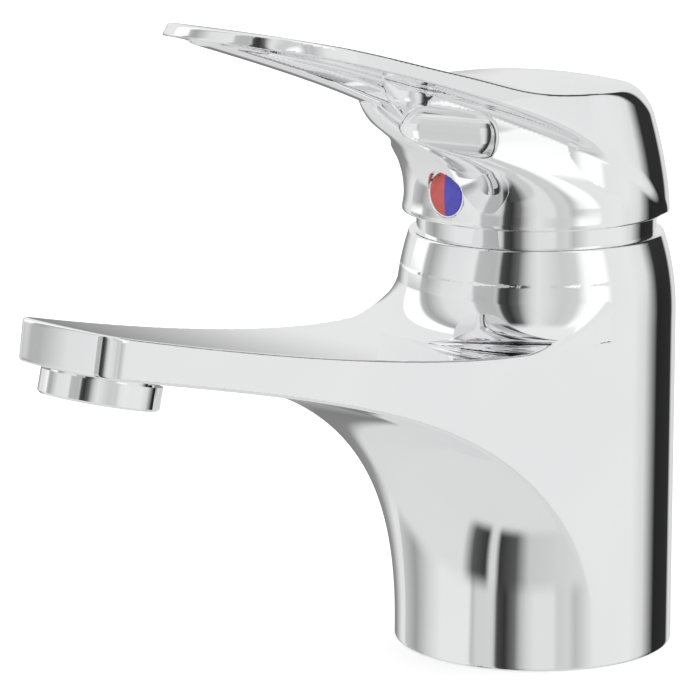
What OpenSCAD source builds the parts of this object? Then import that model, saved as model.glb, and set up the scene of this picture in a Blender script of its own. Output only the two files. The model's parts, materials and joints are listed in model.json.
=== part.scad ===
// Single-lever basin mixer faucet: round column, rising flat spout, hooded lever on a
// ceramic-disc cartridge. Millimetres, +Z up, spout towards -Y, origin on the column's
// axis in the plane of the base.

/* [Body] */
// Radius of the round column at the base
base_r = 25; // [24.5:0.25:25.5]
// Height of the neck's rim above the base
rim_z = 74.8; // [74.5:0.1:75]
// Radius of the neck at the rim
rim_r = 22.6; // [22.4:0.1:22.8]
// Depth of the open recess in the base
recess_depth = 26; // [22:1:27]

/* [Spout] */
// Distance from the column's axis to the centre of the aerator's mouth
spout_reach = 103; // [98:1:104]
// Half the width of the spout at its tip
tip_half_w = 12; // [11.5:0.5:13]
// Height of the spout's upper edge at the nose
nose_z = 73.7; // [73:0.1:74.5]
// Slope of the spout's underside near the tip, and of the aerator
outlet_tilt = 13.5; // [13:0.5:14]

/* [Cartridge] */
// Radius of the cartridge housing
cartridge_r = 17.5; // [17.4:0.05:17.55]
// Height of the lever's tilting axis
pivot_z = 67; // [66.5:0.25:67]
// Width of the spindle's square stem
stem_w = 7.9; // [7.5:0.1:7.9]

/* [Lever] */
// Height of the collar's lower edge
collar_z = 78.2; // [78:0.1:78.6]
// Radius of the collar at its lower edge
collar_r = 23.3; // [23.2:0.1:23.6]
// Distance from the column's axis to the lever's tip
lever_reach = 81; // [80:0.5:82]
// Radius of the lever's round end
lever_end_r = 18.5; // [18:0.1:19]
// Radius of the temperature mark
mark_r = 4.2; // [4:0.1:4.2]

/* [Hidden] */
$fn = 96;
over = 1;                 // how far a cutting tool runs past the face that it cuts

// heights inside the column, from the base up
seat_z = 40;              // floor of the cartridge bore
ledge_z = 63.5;           // ledge that carries the housing's flange
thread_z = 66;            // foot of the nut's thread
bore_r = cartridge_r + 0.1;
ledge_r = 19.6;
nut_thread_r = 20;
stem_h = stem_w / 2;

// waterways: inlets at the front of the cartridge, outlet behind its axis
inlet_x = 6.5;
inlet_y = -5;
inlet_r = 2.8;
outlet_y = 7;
outlet_r = 3;
channel_r = 2.6;
channel_z = 31;
hose_x = 9;               // hose threads stand a little wider than the cartridge's ports
hose_r = 4.5;
hose_depth = 10;
stud_y = 15;
stud_r = 3.4;
stud_depth = 10;
pin_x = 12;
pin_y = 7;

// recess and seal groove in the base
recess_r = 19.5;
groove_in = 21;
groove_out = 23.5;
groove_depth = 2.5;

// spout
nose_y = -(spout_reach + 8.4);
mouth_z = 59.4;
skirt_r = 10;
skirt_h = 4;
socket_r = 8.6;
socket_top = 8.2;

// ceramic discs and the parts around them
disc_z = 46.2;            // foot of the fixed disc
disc_t = 3.5;
slide_z = disc_z + disc_t + 0.02;
carrier_z = slide_z + disc_t;
ball_z = 56.5;            // centre of the spindle's lower ball
ball_r = 2.5;
guide_z = 58.8;
guide_flange_t = 3.2;
guide_top = 72;
journal_r = 13;
pin_r = 1.5;

// spherical fit between the lever's cavity and the cover under it
dome_r = 24.1;
dome_wall = 1.7;
dome_hole_r = 16.2;
cover_r = 21.35;
cavity_r = 24.7;
boss_r = 8.5;
boss_z = 80.6;
mark_z = 83.6;
mark_y = -23;             // front face of the temperature mark's rim

// ---------- curves ----------
function bez(p, t) = pow(1 - t, 3) * p[0] + 3 * pow(1 - t, 2) * t * p[1]
    + 3 * (1 - t) * t * t * p[2] + pow(t, 3) * p[3];
function curve(p, n) = [for (i = [0 : n]) bez(p, i / n)];
function arc(c, r, a0, a1, n) =
    [for (i = [0 : n]) let (a = a0 + (a1 - a0) * i / n) [c[0] + r * cos(a), c[1] + r * sin(a)]];

// spout: upper edge seen from the side, as [y, z]
spout_top = [[nose_y - 2, nose_z], [-96.8, 69.6], [-51.1, 58.8], [-24, 58.8]];
// flare of the column's front into the spout's underside, as [radius, height]
flare = [[base_r - 0.4, 2.7], [base_r - 0.2, 47.8], [48.8, 52.2], [114, 66.47]];
// lever: upper edge of the blade seen from the side, over its reach and over the hood, as [y, z]
blade_top = [[-lever_reach - 2, 118], [-67.8, 116.4], [-50.8, 111], [-39.8, 108.2]];
blade_crest = [[-39.8, 108.2], [-21.8, 103.5], [-21.3, 101.1], [2, 100.6]];
// lower edge of the blade
blade_low = [[-lever_reach - 2, 116.2], [-61.4, 112.6], [-18.8, 100], [-8, 93]];
// keel under the blade, then its sweep down to the mark on the hood's front
keel_low = [[-lever_reach - 1, 115.4], [-68.8, 111.2], [-55, 106.8], [-42.6, 101.7]];
beak_front = [[-42.6, 101.7], [-29.5, 90.5], [-21.2, 91], [-22.9, 79.5]];

// ---------- body ----------
module column() {
    neck_arc_r = 46;
    neck_z = 60;
    top_a = asin((rim_z - neck_z) / neck_arc_r);
    fit = (base_r - rim_r) / (neck_arc_r * (1 - cos(top_a)));
    neck = [for (p = arc([0, neck_z], neck_arc_r, 0, top_a, 10))
        [base_r - fit * (neck_arc_r - p[0]), p[1]]];
    rotate_extrude() polygon(concat([[0, 0], [base_r, 0]], neck, [[0, rim_z]]));
}

// plan of the spout: straight sides from the tip that meet the column almost as tangents
module spout_plan() {
    side_r = base_r - 0.06;
    ty = nose_y + 2;
    a = atan2(ty, tip_half_w) + acos(side_r / norm([tip_half_w, ty]));
    root = side_r * [cos(a), sin(a)];
    run = (root - [tip_half_w, ty]) / norm(root - [tip_half_w, ty]);
    tip = [tip_half_w, ty] - 6 * run;
    polygon([root, tip, [-tip[0], tip[1]], [-root[0], root[1]]]);
}

// nose: shallow arc across the front with rounded corners, its face square to the slope
module nose_block() {
    corner_r = 3;
    bow_r = 42;
    flank = 9;
    translate([0, nose_y, nose_z])
        rotate([-outlet_tilt, 0, 0])
            translate([0, 0, -90])
                linear_extrude(130)
                    intersection() {
                        union() {
                            translate([0, bow_r - 1.4]) circle(bow_r);
                            translate([-60, 8]) square([120, 150]);
                        }
                        union() {
                            for (s = [-1, 1])
                                translate([s * (tip_half_w - corner_r), corner_r - 0.2])
                                    circle(corner_r);
                            polygon([
                                [-tip_half_w + corner_r, -4], [tip_half_w - corner_r, -4],
                                [tip_half_w - corner_r + corner_r * cos(flank), corner_r],
                                [tip_half_w + 135 * tan(flank), 135],
                                [-tip_half_w - 135 * tan(flank), 135],
                                [-tip_half_w + corner_r - corner_r * cos(flank), corner_r]
                            ]);
                        }
                    }
}

module spout() {
    half_w = 40;
    intersection() {
        linear_extrude(90) spout_plan();
        rotate([90, 0, 90])
            linear_extrude(2 * half_w, center = true)
                polygon(concat(curve(spout_top, 24), [[10, 58.8], [10, 0], [nose_y - 9, 0]]));
        rotate_extrude() polygon(concat([[0, 2.7]], curve(flare, 24), [[114, 90], [0, 90]]));
        nose_block();
    }
}

// concave fillet between the neck and the spout's top
module neck_fillet() {
    fillet_r = 10;
    foot_z = 58.5;
    in_r = 24;
    intersection() {
        linear_extrude(90) spout_plan();
        rotate_extrude()
            polygon(concat(
                [[0, foot_z - 8], [in_r + fillet_r, foot_z - 8]],
                arc([in_r + fillet_r, foot_z + fillet_r], fillet_r, 270, 180, 10),
                [[0, foot_z + fillet_r]]
            ));
    }
}

// round passage from point a to point b
module passage(a, b, r) {
    d = b - a;
    translate(a)
        rotate([0, acos(d[2] / norm(d)), atan2(d[1], d[0])])
            cylinder(h = norm(d), r = r, $fn = 48);
    translate(b) sphere(r * 1.04, $fn = 48);
}

module at_mouth() {
    translate([0, -spout_reach, mouth_z]) rotate([-outlet_tilt, 0, 0]) children();
}

module body() {
    knee = [0, -8, channel_z];
    bend = [0, -52, 54.6];
    outlet_end = [0, -(spout_reach - 6), 66.8];
    color("silver") difference() {
        union() {
            column();
            spout();
            neck_fillet();
        }
        // base recess and the groove for the seal ring
        translate([0, 0, -over]) cylinder(h = recess_depth + over, r = recess_r);
        translate([0, 0, -over]) difference() {
            cylinder(h = groove_depth + over, r = groove_out);
            translate([0, 0, -over]) cylinder(h = groove_depth + 3 * over, r = groove_in);
        }
        // hose threads, stud thread and the ports above them
        for (s = [-1, 1]) {
            translate([s * hose_x, inlet_y, recess_depth - over])
                cylinder(h = hose_depth + over, r = hose_r);
            translate([s * inlet_x, inlet_y, 34]) cylinder(h = 8, r = inlet_r);
            translate([s * pin_x, pin_y, seat_z - 2.4]) cylinder(h = 4, r = 1.7);
        }
        translate([0, stud_y, recess_depth - over]) cylinder(h = stud_depth + over, r = stud_r);
        // outlet: down from the cartridge, forward under it, then along the spout
        translate([0, outlet_y, channel_z]) cylinder(h = 10, r = outlet_r);
        passage([0, outlet_y, channel_z], knee, channel_r);
        passage(knee, bend, channel_r);
        passage(bend, outlet_end, channel_r - 0.2);
        at_mouth() translate([0, 0, 2]) cylinder(h = socket_top - 2, r = socket_r);
        // cartridge bore, flange ledge and nut thread
        translate([0, 0, seat_z]) cylinder(h = 40, r = bore_r);
        translate([0, 0, ledge_z]) cylinder(h = 20, r = ledge_r);
        translate([0, 0, thread_z]) cylinder(h = 20, r = nut_thread_r);
    }
}

// rubber ring in the groove of the base, flush with the mounting face
module base_seal_ring() {
    gap = 0.05;
    color("#202020") difference() {
        cylinder(h = groove_depth, r = groove_out - gap);
        translate([0, 0, -over]) cylinder(h = groove_depth + 2 * over, r = groove_in + gap);
    }
}

// ---------- cartridge ----------
// children() at the two inlets, then at the outlet
module at_inlets() {
    for (s = [-1, 1]) translate([s * inlet_x, inlet_y, 0]) children();
}

module at_ports() {
    at_inlets() children();
    translate([0, outlet_y, 0]) children();
}

seal_r = 4.3;
seal_t = 1.3;

module cartridge_base() {
    base_t = 5;
    color("gainsboro") {
        difference() {
            translate([0, 0, seat_z]) cylinder(h = base_t, r = cartridge_r - 0.2);
            at_ports() translate([0, 0, seat_z - over]) cylinder(h = base_t + 2 * over, r = inlet_r);
            at_ports() translate([0, 0, seat_z - over]) cylinder(h = seal_t + over, r = seal_r);
        }
        for (s = [-1, 1])
            translate([s * pin_x, pin_y, seat_z - 2]) cylinder(h = 3, r = 1.6);
    }
}

module cartridge_seals() {
    gap = 0.05;
    color("#303030") at_ports() translate([0, 0, seat_z]) difference() {
        cylinder(h = seal_t - gap, r = seal_r - gap);
        translate([0, 0, -over]) cylinder(h = 4, r = inlet_r);
    }
}

module disc_seal() {
    color("#383838") difference() {
        translate([0, 0, seat_z + 5]) cylinder(h = disc_z - seat_z - 5, r = 14.2);
        at_ports() translate([0, 0, seat_z]) cylinder(h = 12, r = inlet_r + 0.3);
    }
}

module fixed_ceramic_disc() {
    color("white") difference() {
        translate([0, 0, disc_z]) cylinder(h = disc_t, r = 14.6);
        at_ports() translate([0, 0, disc_z - over]) cylinder(h = disc_t + 2 * over, r = inlet_r);
    }
}

// upper disc: a blind pocket in its underside joins the ports as it slides forward
module moving_ceramic_disc() {
    pocket_r = 6.2;
    pocket_y = 3.2;
    color("ivory") difference() {
        translate([0, 0, slide_z]) cylinder(h = disc_t, r = 10.8);
        translate([0, pocket_y, slide_z - over]) cylinder(h = 2 + over, r = pocket_r);
    }
}

// plastic carrier on the upper disc; the spindle's ball sits in its socket
module disc_carrier() {
    carrier_h = 4.9;
    flat_x = 9.4;
    color("orange") difference() {
        intersection() {
            translate([0, 0, carrier_z]) cylinder(h = carrier_h, r = 10.5);
            translate([-flat_x, -20, carrier_z - over]) cube([2 * flat_x, 40, carrier_h + 2 * over]);
        }
        translate([0, 0, ball_z - ball_r - 0.2]) cylinder(h = 10, r = ball_r + 0.3);
    }
}

module cartridge_housing() {
    top_z = 74.6;
    color("whitesmoke") rotate_extrude() polygon([
        [15.1, seat_z + 5], [cartridge_r, seat_z + 5], [cartridge_r, ledge_z],
        [ledge_r - 0.2, ledge_z], [ledge_r - 0.2, thread_z], [15.4, thread_z],
        [15.4, top_z], [10.9, top_z], [10.9, guide_top + 0.3], [journal_r + 0.05, guide_top + 0.3],
        [journal_r + 0.05, guide_z + guide_flange_t + 0.3], [15.1, guide_z + guide_flange_t + 0.3]
    ]);
}

// ring nut that clamps the housing's flange, with six key slots in its top
module cartridge_nut() {
    collar_top = 77;
    color("goldenrod") difference() {
        rotate_extrude() polygon([
            [15.6, thread_z], [nut_thread_r - 0.05, thread_z], [nut_thread_r - 0.05, rim_z - 0.8],
            [19.2, rim_z - 0.8], [19.2, collar_top], [15.6, collar_top]
        ]);
        for (i = [0 : 5])
            rotate([0, 0, 60 * i]) translate([14, -2, collar_top - 2]) cube([8, 4, 4]);
    }
}

// chrome cap over the nut: a short band, then part of a sphere about the tilting axis
module cover_dome() {
    in_r = dome_r - dome_wall;
    skirt_in = 19.3;
    color("silver") rotate_extrude() polygon(concat(
        [[skirt_in, rim_z], [cover_r, rim_z]],
        arc([0, pivot_z], dome_r, acos(cover_r / dome_r), acos(dome_hole_r / dome_r), 10),
        arc([0, pivot_z], in_r, acos(dome_hole_r / in_r), acos(skirt_in / in_r), 8)
    ));
}

// turning guide that carries the spindle: flange, journal, slot and two rails for the carrier
module spindle_guide() {
    slot = 14;
    rail_z = 54;
    color("lightsteelblue") difference() {
        union() {
            translate([0, 0, guide_z]) cylinder(h = guide_flange_t, r = 14.8);
            translate([0, 0, guide_z]) cylinder(h = guide_top - guide_z, r = journal_r);
            for (s = [-1, 1])
                translate([s * 11 - 1.2, -7, rail_z]) cube([2.4, 14, guide_z - rail_z + over]);
        }
        translate([-stem_h - 0.35, -slot / 2, guide_z - over])
            cube([2 * stem_h + 0.7, slot, guide_top - guide_z + 2 * over]);
        translate([-20, 0, pivot_z]) rotate([0, 90, 0]) cylinder(h = 40, r = pin_r + 0.02);
    }
}

module pivot_pin() {
    color("slategray")
        translate([-12.5, 0, pivot_z]) rotate([0, 90, 0]) cylinder(h = 25, r = pin_r);
}

// stop ring on the guide's top limits how far the lever swings to hot
module temperature_stop_ring() {
    color("firebrick") difference() {
        translate([0, 0, guide_top]) cylinder(h = 2.2, r = 10.6);
        translate([0, 0, guide_top - over]) cylinder(h = 5, r = 9.2);
        translate([6, -2, guide_top - over]) cube([6, 4, 5]);
    }
}

// spindle: square stem, pivot eye, lower arm with a ball
module spindle() {
    stem_top = 97;
    color("dimgray") difference() {
        union() {
            translate([-stem_h, -stem_h, pivot_z]) cube([stem_w, stem_w, stem_top - pivot_z]);
            translate([-stem_h, 0, pivot_z]) rotate([0, 90, 0]) cylinder(h = stem_w, r = stem_h);
            translate([0, 0, ball_z]) cylinder(h = pivot_z - ball_z, r = 1.8);
            translate([0, 0, ball_z]) sphere(ball_r);
        }
        translate([-20, 0, pivot_z]) rotate([0, 90, 0]) cylinder(h = 40, r = pin_r + 0.05);
    }
}

// ---------- aerator ----------
module aerator_housing() {
    color("silver") at_mouth() rotate_extrude() polygon([
        [6.6, 0], [9.6, 0], [skirt_r, 0.4], [skirt_r, skirt_h], [socket_r - 0.1, skirt_h],
        [socket_r - 0.1, 7.2], [7.2, 7.2], [7.2, 1.6], [6.6, 1.6]
    ]);
}

// children() n times round a circle
module ring_of(n, r) {
    for (i = [0 : n - 1]) rotate([0, 0, 360 * i / n]) translate([r, 0, 0]) children();
}

module aerator_insert() {
    color("lightgray") at_mouth() difference() {
        translate([0, 0, 1.6]) cylinder(h = 2.4, r = 7.15);
        translate([0, 0, 0]) ring_of(12, 5.2) cylinder(h = 6, r = 0.8, $fn = 24);
        translate([0, 0, 0]) ring_of(6, 2.6) cylinder(h = 6, r = 0.8, $fn = 24);
    }
}

module aerator_screen() {
    pitch = 2;
    color("darkgray") at_mouth() difference() {
        translate([0, 0, 4]) cylinder(h = 0.5, r = 7.1);
        for (i = [-2 : 2], j = [-2 : 2])
            translate([i * pitch - 0.6, j * pitch - 0.6, 3]) cube([1.2, 1.2, 3]);
    }
}

module flow_regulator() {
    color("seagreen") at_mouth() difference() {
        translate([0, 0, 4.5]) cylinder(h = 2.6, r = 7.1);
        translate([0, 0, 3]) ring_of(8, 4.6) cylinder(h = 6, r = 0.9, $fn = 24);
        translate([0, 0, 5.6]) cylinder(h = 4, r = 3);
    }
}

module aerator_gasket() {
    color("#282828") at_mouth() difference() {
        translate([0, 0, 7.2]) cylinder(h = socket_top - 7.2, r = socket_r - 0.1);
        translate([0, 0, 6]) cylinder(h = 4, r = 6.2);
    }
}

// ---------- lever ----------
// plan of the lever: round over the column, nearly parallel sides, broad round end
module lever_plan(grow) {
    hub_r = 20.8 + grow;
    end_r = lever_end_r + grow;
    inset = 0.05;
    end_at = [0, -lever_reach + lever_end_r];
    a = asin((hub_r - end_r) / -end_at[1]);
    side = [cos(a), -sin(a)];
    near = (hub_r - inset) * side;
    far = end_at + (end_r - inset) * side;
    circle(hub_r);
    translate(end_at) circle(end_r);
    polygon([near, far, [-far[0], far[1]], [-near[0], near[1]]]);
}

module blade() {
    back_edge = [[4.5, 99.2], [7, 96.8], [9, 93], [9, 90], [-6, 90]];
    intersection() {
        linear_extrude(140) lever_plan(0);
        rotate([90, 0, 90])
            linear_extrude(80, center = true)
                polygon(concat(
                    curve(blade_top, 12), [for (i = [1 : 12]) bez(blade_crest, i / 12)], back_edge,
                    [for (i = [16 : -1 : 0]) bez(blade_low, i / 16)]
                ));
    }
}

// hood over the cartridge: steep wall, rounded shoulder, nearly flat crown
module hood() {
    rotate_extrude() polygon([
        [0, collar_z], [collar_r, collar_z], [collar_r - 0.2, 81], [22.4, 86.4], [21.7, 90.2],
        [20.9, 93.4], [20.2, 95.6], [19.2, 97.6], [17.9, 99.1], [16.3, 100.1], [13.7, 101],
        [9.2, 101.7], [0, 102.2]
    ]);
}

// side view of the keel and beak, from the tip to the hood's front and back under the blade
module keel_side() {
    polygon(concat(
        curve(keel_low, 12), [for (i = [1 : 14]) bez(beak_front, i / 14)],
        [[-8, 84], [-8, 99], [-lever_reach + 12, 114.6]]
    ));
}

// central keel under the blade
module keel() {
    keel_w = 8;
    rotate([90, 0, 90]) linear_extrude(keel_w, center = true) keel_side();
}

// beak: cheeks that spread from the keel into the hood, part of a cone
module beak() {
    apex = [0, -46, 103.6];
    droop = 19;
    length = 34;
    back_r = 16.2;
    intersection() {
        rotate([90, 0, 90]) linear_extrude(50, center = true) keel_side();
        translate(apex) rotate([-90 - droop, 0, 0]) cylinder(h = length, r1 = 0, r2 = back_r);
    }
}

module lever() {
    scoop_r = 9.6;
    scoop_at = [14.2, -29.5, 98.6];
    color("silver") difference() {
        union() {
            difference() {
                union() {
                    blade();
                    // finger scoops on both sides of the keel, under the blade
                    difference() {
                        union() {
                            hood();
                            beak();
                            intersection() {
                                keel();
                                linear_extrude(140) lever_plan(-1);
                            }
                        }
                        for (s = [-1, 1])
                            translate([s * scoop_at[0], scoop_at[1], scoop_at[2]]) sphere(scoop_r);
                    }
                }
                translate([0, 0, pivot_z]) sphere(cavity_r);
            }
            translate([0, 0, boss_z]) cylinder(h = 13, r = boss_r);
        }
        // socket for the stem
        translate([-stem_h - 0.05, -stem_h - 0.05, boss_z - over])
            cube([stem_w + 0.1, stem_w + 0.1, 97.2 - boss_z + over]);
        // set screw's thread in the boss, its access hole and the mark's recess
        translate([0, 0, mark_z]) rotate([90, 0, 0]) cylinder(h = 12, r = 2);
        translate([0, -14, mark_z]) rotate([90, 0, 0]) cylinder(h = 20, r = 2.2);
        translate([0, mark_y + 1.6, mark_z]) rotate([90, 0, 0]) cylinder(h = 10, r = mark_r + 0.1);
    }
}

module lever_set_screw() {
    color("#404040") difference() {
        translate([0, -stem_h - 0.05, mark_z]) rotate([90, 0, 0]) cylinder(h = 4.4, r = 1.97);
        translate([0, -stem_h - 2.6, mark_z]) rotate([90, 0, 0]) cylinder(h = 4, r = 1.15, $fn = 6);
    }
}

// bright rim of the temperature mark, with a peg in the access hole
module indicator_plug() {
    color("silver") difference() {
        union() {
            translate([0, mark_y + 1.6, mark_z]) rotate([90, 0, 0]) cylinder(h = 1.6, r = mark_r);
            translate([0, mark_y + 3.6, mark_z]) rotate([90, 0, 0]) cylinder(h = 2.2, r = 2.1);
        }
        translate([0, mark_y + 0.6, mark_z]) rotate([90, 0, 0]) cylinder(h = 2, r = mark_r - 0.3);
    }
}

// one coloured half of the mark, slightly domed; side -1 is hot, +1 is cold
module mark_half(side) {
    inlay_r = mark_r - 0.32;
    edge_t = 0.6;
    swell = 0.45;
    dome = [for (i = [0 : 8]) [inlay_r * cos(90 * i / 8), edge_t + swell * sin(90 * i / 8)]];
    intersection() {
        translate([0, mark_y + edge_t, mark_z])
            rotate([90, 0, 0])
                rotate_extrude() polygon(concat([[0, 0], [inlay_r, 0]], dome));
        translate([side > 0 ? 0.01 : -9.01, mark_y - 5, mark_z - 9]) cube([9, 9, 18]);
    }
}

module indicator_hot() {
    color("crimson") mark_half(-1);
}

module indicator_cold() {
    color("mediumblue") mark_half(1);
}

body();
base_seal_ring();
cartridge_base();
cartridge_seals();
disc_seal();
fixed_ceramic_disc();
cartridge_housing();
cartridge_nut();
cover_dome();
aerator_housing();
aerator_insert();
aerator_screen();
flow_regulator();
aerator_gasket();
spindle_guide();
pivot_pin();
temperature_stop_ring();
moving_ceramic_disc();
disc_carrier();
spindle();
lever();
lever_set_screw();
indicator_plug();
indicator_hot();
indicator_cold();
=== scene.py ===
import json
import math
from itertools import product

import bpy
import numpy as np
from mathutils import Matrix, Vector


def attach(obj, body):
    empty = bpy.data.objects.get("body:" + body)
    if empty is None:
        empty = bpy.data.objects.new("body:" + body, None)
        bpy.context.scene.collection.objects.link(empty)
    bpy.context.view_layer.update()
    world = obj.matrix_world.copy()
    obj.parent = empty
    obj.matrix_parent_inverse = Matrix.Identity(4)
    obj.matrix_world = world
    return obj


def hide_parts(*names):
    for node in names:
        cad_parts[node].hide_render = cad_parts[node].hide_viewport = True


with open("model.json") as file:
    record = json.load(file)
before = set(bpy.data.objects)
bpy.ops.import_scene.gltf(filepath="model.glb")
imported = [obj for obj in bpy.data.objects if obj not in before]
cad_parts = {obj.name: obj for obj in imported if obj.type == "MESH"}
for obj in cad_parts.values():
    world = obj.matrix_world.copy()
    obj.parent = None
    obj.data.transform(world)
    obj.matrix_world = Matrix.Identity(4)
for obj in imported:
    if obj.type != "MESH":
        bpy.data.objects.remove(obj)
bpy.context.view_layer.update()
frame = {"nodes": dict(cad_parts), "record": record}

MM = 0.001

# ---------------------------------------------------------------- sizes, in millimetres
# Column and neck
BASE_R = 25.0
RIM_Z = 74.8
RIM_R = 22.6
NECK_Z = 60.0            # where the neck starts to draw in
NECK_ARC_R = 46.0

# Spout: nose, straight sides, top and flared underside
NOSE_Y = -111.4
NOSE_Z = 73.7
NOSE_BOW_R = 42.0
NOSE_CORNER_R = 3.2
NOSE_LEAN = math.radians(9.0)        # the nose's face leans forward at its foot
TIP_HALF_W = 12.0
SPOUT_EDGE_R = 0.55
SPOUT_TOP = ((NOSE_Y - 2, NOSE_Z), (-96.8, 69.6), (-51.1, 58.8), (-24.0, 58.8))
FLARE = ((2.7, 25.0), (47.8, 25.0), (52.2, 48.8), (66.47, 114.0))      # (height, radius)

# Fillet from the neck's front to the spout's top
FILLET_R = 10.0
FILLET_IN_R = 24.2
FILLET_TOP_Z = 68.7
FILLET_FOOT_Z = 50.0
FILLET_BACK_Y = -2.0

# Hollows of the body: base recess, seal groove, threads, cartridge bore, aerator socket
RECESS_R, RECESS_TOP = 19.5, 26.0
GROOVE_MID_R, GROOVE_HALF_W, GROOVE_DEPTH = 22.25, 1.25, 2.5
HOSE_X, HOSE_Y, HOSE_R = 9.0, -5.0, 4.5
STUD_Y, STUD_R = 15.0, 3.4
THREAD_FOOT, THREAD_TOP = 20.0, 36.0
BORE_STEPS = ((17.6, 40), (19.6, 63.5), (20.0, 66))                     # (radius, foot)
MOUTH = np.array((0.0, -103.0, 59.4))
OUTLET_TILT = math.radians(13.5)
SOCKET_R, SOCKET_TOP = 8.6, 8.2

# Hood of the lever and the sphere that it turns on
PIVOT_Z = 67.0
COLLAR_Z = 78.2
COLLAR_R = 23.3
HOOD_H = 24.0
LEDGE = 0.3              # the blade stands this far out of the hood's wall
CAVITY_R = 24.7
BOSS_R, BOSS_FOOT, BOSS_TOP = 8.5, 80.6, 93.5
STEM_HALF_W, STEM_MID_Z, STEM_HALF_H = 4.0, 85.0, 12.2
MARK_Z = 83.6
MARK_R = 4.2

# Blade of the lever: plan, then edges seen from the side
END_R = 18.5             # round end of the blade and the centre of that arc
END_Y = -62.4
END_MID_Z = 117.1        # height where the outline of the end is that arc
BLADE_TOP = ((-83.0, 118.0), (-67.8, 116.4), (-50.8, 111.0), (-39.8, 108.2))
BLADE_CREST = ((-39.8, 108.2), (-21.8, 103.5), (-21.3, 101.1), (2.0, 100.6))
BLADE_LOW = ((-83.0, 116.2), (-61.4, 112.6), (-18.8, 100.0), (-9.7, 93.5))
BAND_LOW = ((-9.7, 93.5), (-1.5, 89.6), (6.0, 82.5), (15.0, 76.5))

# Keel under the blade, and the beak where it spreads into the hood
KEEL_FRONT = ((115.4, -82.0), (111.2, -68.8), (106.8, -55.0), (101.7, -42.6))   # (height, y)
KEEL_ROOT = ((101.7, -42.6), (92.5, -38.0), (91.5, -20.0), (79.0, -23.4))
KEEL_FOOT, KEEL_TOP = 79.0, 115.4
NOSE_R = ((79.0, 22.0), (88.5, 20.5), (89.5, 6.5), (104.0, 3.8))                # (height, radius)
NOSE_TOP = 104.0

# Pockets along the keel and finger bowls behind them
POCKET_FROM, POCKET_TO = 38.0, 68.0
POCKET_SIDE, POCKET_LIFT = 3.4, 1.2
BOWL = np.array((9.8, -30.9, 95.9))          # middle of the bowl's line
BOWL_RUN = np.array((2.8, 4.1, -0.5))        # from there to the line's end
BOWL_R = 4.5

# Three-quarter view from the user's front right
EYE = Vector((0.47711, -0.51221, 0.20235))
EYE_HEADING = 45.71
EYE_PITCH = 12.07
LENS = 206.6
SENSOR = 36


# ---------------------------------------------------------------- curves and solids as distances
def bezier(points, n=1500):
    """Dense points of a cubic curve, sorted by its first coordinate."""
    t = np.linspace(0, 1, n)[:, None]
    p = np.array(points, float)
    c = (1 - t) ** 3 * p[0] + 3 * (1 - t) ** 2 * t * p[1] + 3 * (1 - t) * t * t * p[2] + t ** 3 * p[3]
    return c[np.argsort(c[:, 0])]


class Curve:
    """A height or radius that follows a smooth curve, with its slope."""

    def __init__(self, *parts):
        c = np.concatenate([bezier(p) for p in parts])
        keep = np.concatenate([[True], np.diff(c[:, 0]) > 1e-6])
        self.x, self.y = c[keep, 0], c[keep, 1]
        self.slope = np.gradient(self.y, self.x)

    def at(self, x):
        inside = np.interp(x, self.x, self.y)
        low, high = np.minimum(x - self.x[0], 0), np.maximum(x - self.x[-1], 0)
        return inside + low * self.slope[0] + high * self.slope[-1]

    def steep(self, x):
        return np.sqrt(1 + np.interp(x, self.x, self.slope) ** 2)


def meet(a, b, r):
    """Intersection with its edge rounded to radius r."""
    return np.minimum(np.maximum(a, b), -r) + np.hypot(np.maximum(a + r, 0), np.maximum(b + r, 0))


def join(a, b, r):
    """Union with its inner corner filled to radius r."""
    return -meet(-a, -b, r)


def cut(a, b, r):
    """Removes b from a, with the edge rounded to radius r."""
    return meet(a, -b, r)


def blend(a, b, x0, x1, x):
    """Goes smoothly from a to b as x goes from x0 to x1."""
    t = np.clip((x - x0) / (x1 - x0), 0, 1)
    t = t * t * (3 - 2 * t)
    return a + (b - a) * t


def two_circles(x, y, r0, r1, y1):
    """Plan distance to the hull of a circle r0 at the origin and a circle r1 at (0, y1), y1 < 0."""
    h = -y1
    ax, v = np.abs(x), -y
    b = np.clip((r0 - r1) / h, -0.999, 0.999)
    a = np.sqrt(1 - b * b)
    k = -b * ax + a * v
    d = ax * a + v * b - r0
    d = np.where(k < 0, np.hypot(ax, v) - r0, d)
    return np.where(k > a * h, np.hypot(ax, v - h) - r1, d)


def bar(x, y, z, axis, radius, low, high):
    """Cylinder along one row axis about a line given by the other two coordinates."""
    across = {"x": (y, z), "y": (x, z), "z": (x, y)}[axis]
    along = {"x": x, "y": y, "z": z}[axis]
    return np.maximum(np.hypot(*across) - radius, np.maximum(low - along, along - high))


spout_top = Curve(SPOUT_TOP)
flare = Curve(FLARE)
blade_top = Curve(BLADE_TOP, BLADE_CREST)
blade_low = Curve(BLADE_LOW, BAND_LOW)
keel = Curve(KEEL_ROOT, KEEL_FRONT)
keel_height = Curve([(y, h) for h, y in KEEL_FRONT], [(y, h) for h, y in KEEL_ROOT])
nose_width = Curve(NOSE_R)


# ---------------------------------------------------------------- body
def column_distance(r, z):
    """Round column whose neck draws in towards the rim."""
    lift = np.clip(z - NECK_Z, 0, NECK_ARC_R)
    fit = (BASE_R - RIM_R) / (NECK_ARC_R - math.sqrt(NECK_ARC_R ** 2 - (RIM_Z - NECK_Z) ** 2))
    neck_r = BASE_R - fit * (NECK_ARC_R - np.sqrt(NECK_ARC_R ** 2 - lift * lift))
    column = (r - neck_r) / np.sqrt(1 + (fit * lift / NECK_ARC_R) ** 2)
    return meet(column, z - RIM_Z, 0.45)


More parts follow.
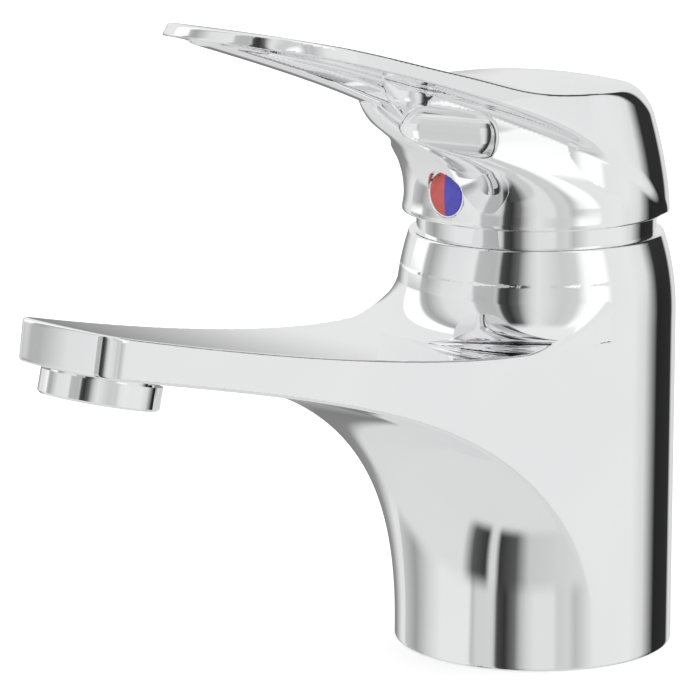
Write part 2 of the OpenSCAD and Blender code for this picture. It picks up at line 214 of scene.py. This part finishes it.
def spout_sides(ax, y, r):
    """The spout's straight side, which touches the column's circle, and the plan that it bounds."""
    tip_y = NOSE_Y + 2
    a = math.atan2(tip_y, TIP_HALF_W) + math.acos(BASE_R / math.hypot(TIP_HALF_W, tip_y))
    nx, ny = math.cos(a), math.sin(a)
    flank = ax * nx + y * ny - BASE_R
    return flank, np.where(-ax * ny + y * nx > 0, r - BASE_R, flank)


def spout_distance(x, y, z, r, side):
    """Spout: bowed and leaning nose, hollow top, underside flared out of the column."""
    v = (y - NOSE_Y) * math.cos(NOSE_LEAN) - (z - NOSE_Z) * math.sin(NOSE_LEAN)
    nose = np.where(v > NOSE_BOW_R, -NOSE_BOW_R, np.hypot(x, v - NOSE_BOW_R) - NOSE_BOW_R)
    plan = meet(side, nose, NOSE_CORNER_R)
    top = (z - spout_top.at(y)) / spout_top.steep(y)
    under = (r - flare.at(z)) / flare.steep(z)
    return meet(meet(plan, top, SPOUT_EDGE_R), under, SPOUT_EDGE_R)


def fillet_distance(y, z, r, flank):
    """Fillet from the neck to the spout's top, only in front of the neck."""
    bowl = FILLET_R - np.hypot(r - FILLET_IN_R - FILLET_R, z - FILLET_TOP_Z)
    bowl = np.where(z > FILLET_TOP_Z, FILLET_R - np.abs(r - FILLET_IN_R - FILLET_R), bowl)
    bowl = np.where(r < FILLET_IN_R + FILLET_R, bowl, r - FILLET_IN_R)
    front = flank + blend(0.35, 0.0, -4, -18, y)
    fillet = meet(front, bowl, SPOUT_EDGE_R)
    fillet = np.maximum(fillet, np.maximum(FILLET_FOOT_Z - z, z - FILLET_TOP_Z))
    return np.maximum(fillet, y - FILLET_BACK_Y)


def hollow_body(solid, x, y, z, r):
    """Cuts the recess, groove, threads, cartridge bore and aerator socket out of the body."""
    solid = cut(solid, bar(x, y, z, "z", RECESS_R, -9, RECESS_TOP), 0.3)
    groove = np.maximum(np.abs(r - GROOVE_MID_R) - GROOVE_HALF_W, z - GROOVE_DEPTH)
    solid = cut(solid, groove, 0.05)
    for s in (-1, 1):
        hose = bar(x - s * HOSE_X, y - HOSE_Y, z, "z", HOSE_R, THREAD_FOOT, THREAD_TOP)
        solid = cut(solid, hose, 0.2)
    solid = cut(solid, bar(x, y - STUD_Y, z, "z", STUD_R, THREAD_FOOT, THREAD_TOP), 0.2)
    for radius, foot in BORE_STEPS:
        solid = cut(solid, bar(x, y, z, "z", radius, foot, 99), 0.15)
    u = (y - MOUTH[1]) * math.cos(OUTLET_TILT) - (z - MOUTH[2]) * math.sin(OUTLET_TILT)
    w = (y - MOUTH[1]) * math.sin(OUTLET_TILT) + (z - MOUTH[2]) * math.cos(OUTLET_TILT)
    return cut(solid, bar(x, u, w, "z", SOCKET_R, -5, SOCKET_TOP), 0.1)


def body_distance(p):
    """The casting: column, neck, spout and the hollows in them."""
    x, y, z = p
    ax, r = np.abs(x), np.hypot(x, y)
    flank, side = spout_sides(ax, y, r)
    solid = np.minimum(column_distance(r, z), spout_distance(x, y, z, r, side))
    solid = np.minimum(solid, fillet_distance(y, z, r, flank))
    return hollow_body(meet(solid, -z, 0.35), x, y, z, r)


# ---------------------------------------------------------------- lever
def hood_wall(z):
    """Radius of the hood, which leans in more and more towards its top."""
    return COLLAR_R - 0.03 * np.clip(z - COLLAR_Z, 0, HOOD_H) ** 1.62


def lever_top(x, y, z):
    """Top face: the blade's edge line, with a crown that fades in over the hub."""
    front = np.minimum(y, 0)
    crown = blend(0.25, 1.75, -40, -8, y)
    top_z = blade_top.at(front) - 0.0085 * np.maximum(y, 0) ** 2 + crown * (1 - x * x / 440)
    return (z - top_z) / blade_top.steep(front)


def core_distance(ax, y, z, r, wall_r):
    """Hood, beak and keel: at each height the hub and a blunt nose in front of it."""
    nose_y = keel.at(np.clip(z, KEEL_FOOT, KEEL_TOP))
    hub_r = wall_r - LEDGE
    flat = blend(1.5, 3.1, 80, 88, z) * blend(1.0, 0.0, 89, 96, z)
    nose_r = np.minimum(nose_width.at(np.clip(z, KEEL_FOOT, NOSE_TOP)), hub_r - flat)
    gap = np.maximum(-nose_y - nose_r, 0.3)
    core = two_circles(np.maximum(ax - flat, 0), y, hub_r - flat, nose_r, -gap)
    core = np.minimum(core, r - hub_r)
    lean = blend(1.0, keel.steep(z), 0, 8, np.maximum(-y - 24, 0))
    return core / np.where(core > -3, lean, 1.0)


def pocket_distance(ax, y, z):
    """Pocket along the keel's side: a ball that rolls along it and shrinks towards the tip."""
    run = np.clip(-y, POCKET_FROM, POCKET_TO)
    radius = blend(2.0, 4.6, 72, 44, run)
    up = z - keel_height.at(-run) - POCKET_LIFT - radius
    return np.sqrt((ax - POCKET_SIDE - radius) ** 2 + (y + run) ** 2 + up ** 2) - radius


def bowl_distance(ax, y, z):
    """Finger bowl: a ball swept along a short line."""
    off = [c - m for c, m in zip((ax, y, z), BOWL)]
    slide = np.clip(sum(o * d for o, d in zip(off, BOWL_RUN)) / (BOWL_RUN @ BOWL_RUN), -1, 1)
    return np.sqrt(sum((o - slide * d) ** 2 for o, d in zip(off, BOWL_RUN))) - BOWL_R


def hollow_lever(solid, x, y, z):
    """Cuts the cavity over the cover, then adds the boss with its socket, screw and mark holes."""
    solid = cut(solid, np.sqrt(x * x + y * y + (z - PIVOT_Z) ** 2) - CAVITY_R, 0.25)
    solid = np.minimum(solid, bar(x, y, z, "z", BOSS_R, BOSS_FOOT, BOSS_TOP))
    stem = np.maximum(np.abs(x), np.abs(y)) - STEM_HALF_W
    solid = np.maximum(solid, -np.maximum(stem, np.abs(z - STEM_MID_Z) - STEM_HALF_H))
    holes = ((2.0, -12, 0), (2.2, -34, -14), (MARK_R - 0.12, -40, -21.4))
    for radius, low_y, high_y in holes:
        solid = cut(solid, bar(x, y, z - MARK_Z, "y", radius, low_y, high_y), 0.12)
    return solid


def lever_distance(p):
    """The lever: hood, blade, keel, pockets and finger bowls, and the hollow inside."""
    x, y, z = p
    ax, r = np.abs(x), np.hypot(x, y)
    wall_r = hood_wall(z)
    core = core_distance(ax, y, z, r, wall_r)
    core = cut(core, pocket_distance(ax, y, z), 0.3)
    core = cut(core, bowl_distance(ax, y, z), 0.35)
    # blade: round over the hub, nearly parallel sides and a broad round end, further out at its foot
    slant = 0.55 * (END_MID_Z - z) * blend(0.0, 1.0, 9, 15, END_Y - y)
    plan = two_circles(x, y, wall_r, END_R, END_Y) - slant
    core = meet(core, plan + 0.9 - blend(0.0, 40.0, -60, -50, y), 0.8)
    low = (blade_low.at(y) - z) / blade_low.steep(y)
    blade = meet(plan, low, blend(0.4, 1.4, -40, -14, y))
    solid = join(blade, core, blend(0.6, 1.6, -40, -14, y))
    solid = meet(solid, lever_top(x, y, z), blend(0.45, 4.6, -4, 13, y))
    return hollow_lever(meet(solid, COLLAR_Z - z, 0.35), x, y, z)


# ---------------------------------------------------------------- meshing a distance
def slope_of(dist, p, step=0.03):
    """Unit normals and slopes of a distance at the points p (3, n)."""
    g = np.empty_like(p)
    for i in range(3):
        e = np.zeros((3, 1))
        e[i] = step
        g[i] = (dist(p + e) - dist(p - e)) / (2 * step)
    size = np.sqrt((g * g).sum(0)) + 1e-9
    return g / size, size


def windows(n):
    """The eight slices of an (n + 1) grid that line up cells with their corners."""
    for corner in product((0, 1), repeat=3):
        yield tuple(slice(c, m + c) for c, m in zip(corner, n))


def fine_points(dist, low, high, h, coarse):
    """Grid corners of size h near the surface, found on a grid that is coarse times wider."""
    n = np.ceil((high - low) / (h * coarse)).astype(int)
    grid = [low[i] + np.arange(n[i] + 1) * h * coarse for i in range(3)]
    rough = dist(np.stack(np.meshgrid(*grid, indexing="ij")).reshape(3, -1)).reshape(n + 1)
    change = np.sqrt(sum(g * g for g in np.gradient(rough, h * coarse)))
    near = np.abs(rough) < 1.3 * h * coarse * math.sqrt(3) * np.clip(change, 1, 4)
    cells = np.zeros(n, bool)
    for window in windows(n):
        cells |= near[window]
    fine = np.zeros(n * coarse + 1, bool)
    block = np.kron(cells, np.ones((coarse,) * 3, bool))
    for window in windows(n * coarse):
        fine[window] |= block
    return fine


def surface(dist, low, high, h, coarse=4):
    """Quads on the surface dist = 0: one vertex in each cell it passes, moved onto it."""
    low, high = np.array(low, float), np.array(high, float)
    fine = fine_points(dist, low, high, h, coarse)
    at = np.array(np.nonzero(fine))
    value = np.full(fine.shape, 9.0, np.float32)
    value[tuple(at)] = dist(low[:, None] + at * h)
    inside = value < 0
    total = np.zeros(tuple(s - 1 for s in fine.shape) + (3,), np.float32)
    count = np.zeros(total.shape[:3], np.int8)
    quads = []
    for axis in range(3):
        other = [i for i in range(3) if i != axis]
        a, b = [slice(None)] * 3, [slice(None)] * 3
        a[axis], b[axis] = slice(0, -1), slice(1, None)
        known = fine[tuple(a)] & fine[tuple(b)]
        hit = np.array(np.nonzero((inside[tuple(a)] != inside[tuple(b)]) & known))
        ok = np.all([(hit[o] > 0) & (hit[o] < fine.shape[o] - 1) for o in other], axis=0)
        hit = hit[:, ok]
        far = hit.copy()
        far[axis] += 1
        va, vb = value[tuple(hit)], value[tuple(far)]
        cross = hit.astype(float)
        cross[axis] += va / (va - vb)
        corners = []
        for du, dv in ((0, 0), (1, 0), (1, 1), (0, 1)):
            cell = hit.copy()
            cell[other[0]] -= du
            cell[other[1]] -= dv
            np.add.at(count, tuple(cell), 1)
            for i in range(3):
                np.add.at(total[..., i], tuple(cell), cross[i])
            corners.append(np.ravel_multi_index(tuple(cell), count.shape))
        quad = np.array(corners).T
        flip = (va < 0) ^ (axis == 1)
        quad[~flip] = quad[~flip][:, ::-1]
        quads.append(quad)
    quads = np.concatenate(quads)
    used, index = np.unique(quads, return_inverse=True)
    mean = total.reshape(-1, 3)[used] / count.reshape(-1)[used][:, None]
    p = low[:, None] + mean.T * h
    for _ in range(5):
        normal, size = slope_of(dist, p)
        p = p - normal * np.clip(dist(p) / np.maximum(size, 0.5), -0.5 * h, 0.5 * h)
    return p, index.reshape(quads.shape), slope_of(dist, p)[0]


def mesh_from(name, dist, low, high, h):
    """A smooth Blender mesh of a distance, with normals taken from the distance itself."""
    p, quads, normal = surface(dist, low, high, h)
    mesh = bpy.data.meshes.new(name)
    mesh.vertices.add(p.shape[1])
    mesh.vertices.foreach_set("co", (p.T * MM).ravel())
    mesh.loops.add(quads.size)
    mesh.loops.foreach_set("vertex_index", quads.ravel().astype(np.int32))
    mesh.polygons.add(len(quads))
    mesh.polygons.foreach_set("loop_start", np.arange(0, quads.size, 4, dtype=np.int32))
    mesh.polygons.foreach_set("use_smooth", np.ones(len(quads), bool))
    mesh.update(calc_edges=True)
    mesh.validate()
    mesh.normals_split_custom_set_from_vertices(normal.T)
    piece = bpy.data.objects.new(name, mesh)
    bpy.context.scene.collection.objects.link(piece)
    return piece


# ---------------------------------------------------------------- materials
def principled(name, color, rough, metal=0.0):
    m = bpy.data.materials.new(name)
    m.use_nodes = True
    shader = m.node_tree.nodes["Principled BSDF"]
    shader.inputs["Base Color"].default_value = (*color, 1)
    shader.inputs["Roughness"].default_value = rough
    shader.inputs["Metallic"].default_value = metal
    return m, shader


def noise_of(tree, scale, detail=3.0):
    place = tree.nodes.new("ShaderNodeTexCoord")
    noise = tree.nodes.new("ShaderNodeTexNoise")
    noise.inputs["Scale"].default_value = scale
    noise.inputs["Detail"].default_value = detail
    tree.links.new(place.outputs["Object"], noise.inputs["Vector"])
    return noise


def vary(m, shader, socket, scale, low, high, detail=3.0):
    """Lets a noise move a shader value between low and high."""
    tree = m.node_tree
    noise = noise_of(tree, scale, detail)
    span = tree.nodes.new("ShaderNodeMapRange")
    span.inputs["From Min"].default_value = 0.3
    span.inputs["From Max"].default_value = 0.7
    span.inputs["To Min"].default_value = low
    span.inputs["To Max"].default_value = high
    tree.links.new(noise.outputs["Fac"], span.inputs["Value"])
    tree.links.new(span.outputs["Result"], shader.inputs[socket])


def vary_color(m, shader, scale, low, high, detail=3.0):
    """Lets a noise move the base colour between low and high."""
    tree = m.node_tree
    noise = noise_of(tree, scale, detail)
    ramp = tree.nodes.new("ShaderNodeValToRGB")
    ramp.color_ramp.elements[0].position = 0.3
    ramp.color_ramp.elements[1].position = 0.7
    ramp.color_ramp.elements[0].color = (*low, 1)
    ramp.color_ramp.elements[1].color = (*high, 1)
    tree.links.new(noise.outputs["Fac"], ramp.inputs["Fac"])
    tree.links.new(ramp.outputs["Color"], shader.inputs["Base Color"])


def bump(m, shader, scale, height, detail=4.0):
    tree = m.node_tree
    noise = noise_of(tree, scale, detail)
    node = tree.nodes.new("ShaderNodeBump")
    node.inputs["Strength"].default_value = 1.0
    node.inputs["Distance"].default_value = height
    tree.links.new(noise.outputs["Fac"], node.inputs["Height"])
    tree.links.new(node.outputs["Normal"], shader.inputs["Normal"])


def chrome():
    """Polished chrome plate: faint haze in patches and the long soft ripple of a buffed casting."""
    m, shader = principled("polished_chrome", (0.93, 0.935, 0.94), 0.03, 1.0)
    vary(m, shader, "Roughness", 90, 0.015, 0.05, 6)
    vary_color(m, shader, 35, (0.915, 0.92, 0.928), (0.945, 0.947, 0.95))
    bump(m, shader, 45, 0.00001, 1.0)
    return m


def plain(name, low, high, rough, metal=0.0, grain=900, relief=0.00003):
    """Plastic, rubber, ceramic or bare metal with a fine grain."""
    m, shader = principled(name, low, rough, metal)
    vary_color(m, shader, 160, low, high)
    vary(m, shader, "Roughness", 400, rough * 0.85, min(rough * 1.15, 1.0))
    bump(m, shader, grain, relief)
    return m


def inlay(name, low, high):
    """Glossy lacquer of the temperature mark."""
    m, shader = principled(name, low, 0.18)
    vary_color(m, shader, 500, low, high)
    vary(m, shader, "Roughness", 900, 0.14, 0.24)
    shader.inputs["Coat Weight"].default_value = 0.6
    shader.inputs["Coat Roughness"].default_value = 0.06
    return m


def gray(value):
    return (value, value, value)


# Slots with a fine grain: two base colours, roughness, then metal, grain and relief where given.
PLAIN = {
    "black_rubber": (gray(0.012), gray(0.03), 0.7),
    "cartridge_plastic": ((0.78, 0.78, 0.75), (0.86, 0.86, 0.84), 0.4),
    "ceramic": ((0.88, 0.87, 0.83), (0.94, 0.93, 0.9), 0.15, 0.0, 900, 0.000004),
    "brass": ((0.72, 0.53, 0.24), (0.82, 0.64, 0.33), 0.25, 1.0),
    "aerator_plastic": (gray(0.6), gray(0.7), 0.4),
    "steel": ((0.55, 0.55, 0.56), (0.66, 0.66, 0.67), 0.3, 1.0, 1500, 0.00001),
    "regulator_plastic": ((0.1, 0.32, 0.18), (0.14, 0.4, 0.24), 0.45),
    "guide_plastic": ((0.55, 0.58, 0.62), (0.65, 0.68, 0.72), 0.4),
    "stop_ring_plastic": ((0.5, 0.03, 0.025), (0.6, 0.05, 0.04), 0.4),
}
INLAY = {
    "indicator_red": ((0.55, 0.06, 0.05), (0.62, 0.09, 0.075)),
    "indicator_blue": ((0.04, 0.035, 0.42), (0.06, 0.05, 0.52)),
}


def make_materials():
    """One material for each slot of the record."""
    made = {"polished_chrome": chrome()}
    for name, look in PLAIN.items():
        made[name] = plain(name, *look)
    for name, look in INLAY.items():
        made[name] = inlay(name, *look)
    return made


# ---------------------------------------------------------------- pieces
def build_pieces(materials):
    """The body and the lever, meshed from their distances in place of the CAD's own solids."""
    body_grid, lever_grid = ((0.4, 0.35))
    body = mesh_from("faucet_body", body_distance, (-27, -116, -1.5), (27, 27, 77), body_grid)
    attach(body, "root")
    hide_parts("body")
    body.data.materials.append(materials["polished_chrome"])
    lever = mesh_from("faucet_lever", lever_distance, (-26, -88, 76), (26, 26, 121), lever_grid)
    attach(lever, "handle")
    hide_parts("lever")
    lever.data.materials.append(materials["polished_chrome"])


def dress_nodes(materials):
    """Gives every CAD node that stays the material of its slot in the record."""
    slots = {s["node"]: s["material_slot"] for s in frame["record"]["subparts"]}
    for name, node in frame["nodes"].items():
        material = materials[slots[name]]
        if not node.material_slots:
            node.data.materials.append(material)
        for s in node.material_slots:
            s.material = material


# ---------------------------------------------------------------- studio
# Light around the faucet as rings: bearings in degrees from straight ahead, and how bright.
DEEP_RING = (
    (-90, 0.75), (-20, 0.75), (-10, 0.10), (2, 0.04), (6, 0.70), (10, 0.70), (14, 0.04),
    (28, 0.10), (40, 0.60), (90, 0.72), (150, 0.70), (165, 0.10), (188, 0.10), (198, 0.65),
    (270, 0.75),
)
LEVEL_RING = (
    (-90, 0.60), (-71, 0.36), (-54, 0.68), (-40, 0.84), (-12, 0.84), (-9, 0.52), (-5, 0.66),
    (7, 0.68), (10.5, 0.60), (13, 0.07), (20, 0.035), (28, 0.17), (33, 0.50), (38, 0.67),
    (45, 0.78), (60, 0.78), (64, 0.63), (73, 0.67), (79, 0.52), (95, 0.83), (131, 0.85),
    (145, 0.72), (154, 0.33), (162, 0.02), (190, 0.03), (196, 0.72), (222, 0.70), (229, 0.22),
    (246, 0.30), (262, 0.80), (270, 0.80),
)
HIGH_RING = (
    (-90, 1.10), (-70, 1.10), (-66, 0.50), (-59, 0.40), (-40, 0.78), (-12, 0.84), (-9, 0.52),
    (-5, 0.50), (7, 0.48), (10.5, 0.55), (13, 0.07), (20, 0.035), (28, 0.14), (33, 0.45),
    (38, 0.66), (45, 0.80), (66, 0.62), (78, 0.66), (86, 1.05), (104, 1.10), (109, 0.82),
    (131, 0.85), (148, 0.78), (158, 0.25), (163, 0.03), (190, 0.03), (196, 0.78), (235, 0.84),
)
GROUND = (*gray(0.74), 1)
SKY = (*gray(0.86), 1)


def ring(tree, turn, stops):
    """Colours that follow the bearing."""
    node = tree.nodes.new("ShaderNodeValToRGB")
    tree.links.new(turn, node.inputs["Fac"])
    ramp = node.color_ramp
    while len(ramp.elements) < len(stops):
        ramp.elements.new(0.5)
    for element, (bearing, value) in zip(ramp.elements, stops):
        element.position = (bearing + 90) / 360
        element.color = (*gray(value), 1)
    return node.outputs["Color"]


def fade(tree, height, low, high, below, above):
    """One ring or colour below a height and another above it; height is the elevation's sine."""
    span = tree.nodes.new("ShaderNodeMapRange")
    span.interpolation_type = "SMOOTHSTEP"
    span.inputs["From Min"].default_value = low
    span.inputs["From Max"].default_value = high
    tree.links.new(height, span.inputs["Value"])
    mix = tree.nodes.new("ShaderNodeMix")
    mix.data_type = "RGBA"
    tree.links.new(span.outputs["Result"], mix.inputs["Factor"])
    for socket, value in (("A", below), ("B", above)):
        if isinstance(value, tuple):
            mix.inputs[socket].default_value = value
        else:
            tree.links.new(value, mix.inputs[socket])
    return mix.outputs["Result"]


def bearing_and_height(tree):
    """Bearing of a direction as a part of a full turn, and the sine of its elevation."""
    place = tree.nodes.new("ShaderNodeTexCoord")
    split = tree.nodes.new("ShaderNodeSeparateXYZ")
    tree.links.new(place.outputs["Generated"], split.inputs[0])
    angle = tree.nodes.new("ShaderNodeMath")
    angle.operation = "ARCTAN2"
    tree.links.new(split.outputs["Y"], angle.inputs[0])
    tree.links.new(split.outputs["X"], angle.inputs[1])
    part = tree.nodes.new("ShaderNodeMapRange")
    part.inputs["From Min"].default_value = -math.pi
    part.inputs["From Max"].default_value = math.pi
    tree.links.new(angle.outputs[0], part.inputs["Value"])
    return part.outputs["Result"], split.outputs["Z"]


def make_world():
    """Pale studio: soft boxes and dark flags stand around the faucet, seen only as reflections."""
    world = bpy.data.worlds.new("studio")
    bpy.context.scene.world = world
    world.use_nodes = True
    tree = world.node_tree
    tree.nodes.clear()
    turn, height = bearing_and_height(tree)
    deep, level, high = (ring(tree, turn, stops) for stops in (DEEP_RING, LEVEL_RING, HIGH_RING))
    seen = fade(tree, height, -0.56, -0.46, deep, level)
    seen = fade(tree, height, -0.84, -0.76, GROUND, seen)
    seen = fade(tree, height, -0.14, 0.06, seen, high)
    seen = fade(tree, height, 0.86, 0.97, seen, SKY)
    studio = tree.nodes.new("ShaderNodeBackground")
    tree.links.new(seen, studio.inputs["Color"])
    backdrop = tree.nodes.new("ShaderNodeBackground")
    backdrop.inputs["Color"].default_value = (*gray(1), 1)
    backdrop.inputs["Strength"].default_value = 1.05
    path = tree.nodes.new("ShaderNodeLightPath")
    pick = tree.nodes.new("ShaderNodeMixShader")
    tree.links.new(path.outputs["Is Glossy Ray"], pick.inputs["Fac"])
    tree.links.new(backdrop.outputs[0], pick.inputs[1])
    tree.links.new(studio.outputs[0], pick.inputs[2])
    out = tree.nodes.new("ShaderNodeOutputWorld")
    tree.links.new(pick.outputs[0], out.inputs["Surface"])


def make_floor():
    """White paper under the faucet, a little bright of itself so that it blends into the backdrop."""
    half = 3.0
    corners = [(-half, -half, 0), (half, -half, 0), (half, half, 0), (-half, half, 0)]
    mesh = bpy.data.meshes.new("floor")
    mesh.from_pydata(corners, [], [(0, 1, 2, 3)])
    floor = bpy.data.objects.new("floor", mesh)
    bpy.context.scene.collection.objects.link(floor)
    m, shader = principled("floor_paper", gray(0.93), 0.9)
    vary_color(m, shader, 3, gray(0.925), gray(0.935))
    shader.inputs["Emission Color"].default_value = (*gray(1), 1)
    shader.inputs["Emission Strength"].default_value = 0.35
    mesh.materials.append(m)
    floor.visible_glossy = False


def make_camera():
    """Three-quarter view from the user's front right, through a long lens."""
    data = bpy.data.cameras.new("camera")
    data.sensor_width = SENSOR
    data.lens = LENS
    camera = bpy.data.objects.new("camera", data)
    heading, pitch = math.radians(EYE_HEADING), math.radians(EYE_PITCH)
    level = math.cos(pitch)
    ahead = Vector((-math.sin(heading) * level, math.cos(heading) * level, -math.sin(pitch)))
    right = ahead.cross(Vector((0, 0, 1))).normalized()
    up = right.cross(ahead)
    turn = Matrix((right, up, -ahead)).transposed().to_4x4()
    camera.matrix_world = Matrix.Translation(EYE) @ turn
    bpy.context.scene.collection.objects.link(camera)
    bpy.context.scene.camera = camera


make_camera()
make_world()
make_floor()
materials = make_materials()
dress_nodes(materials)
build_pieces(materials)
bpy.context.scene.view_settings.view_transform = "Standard"
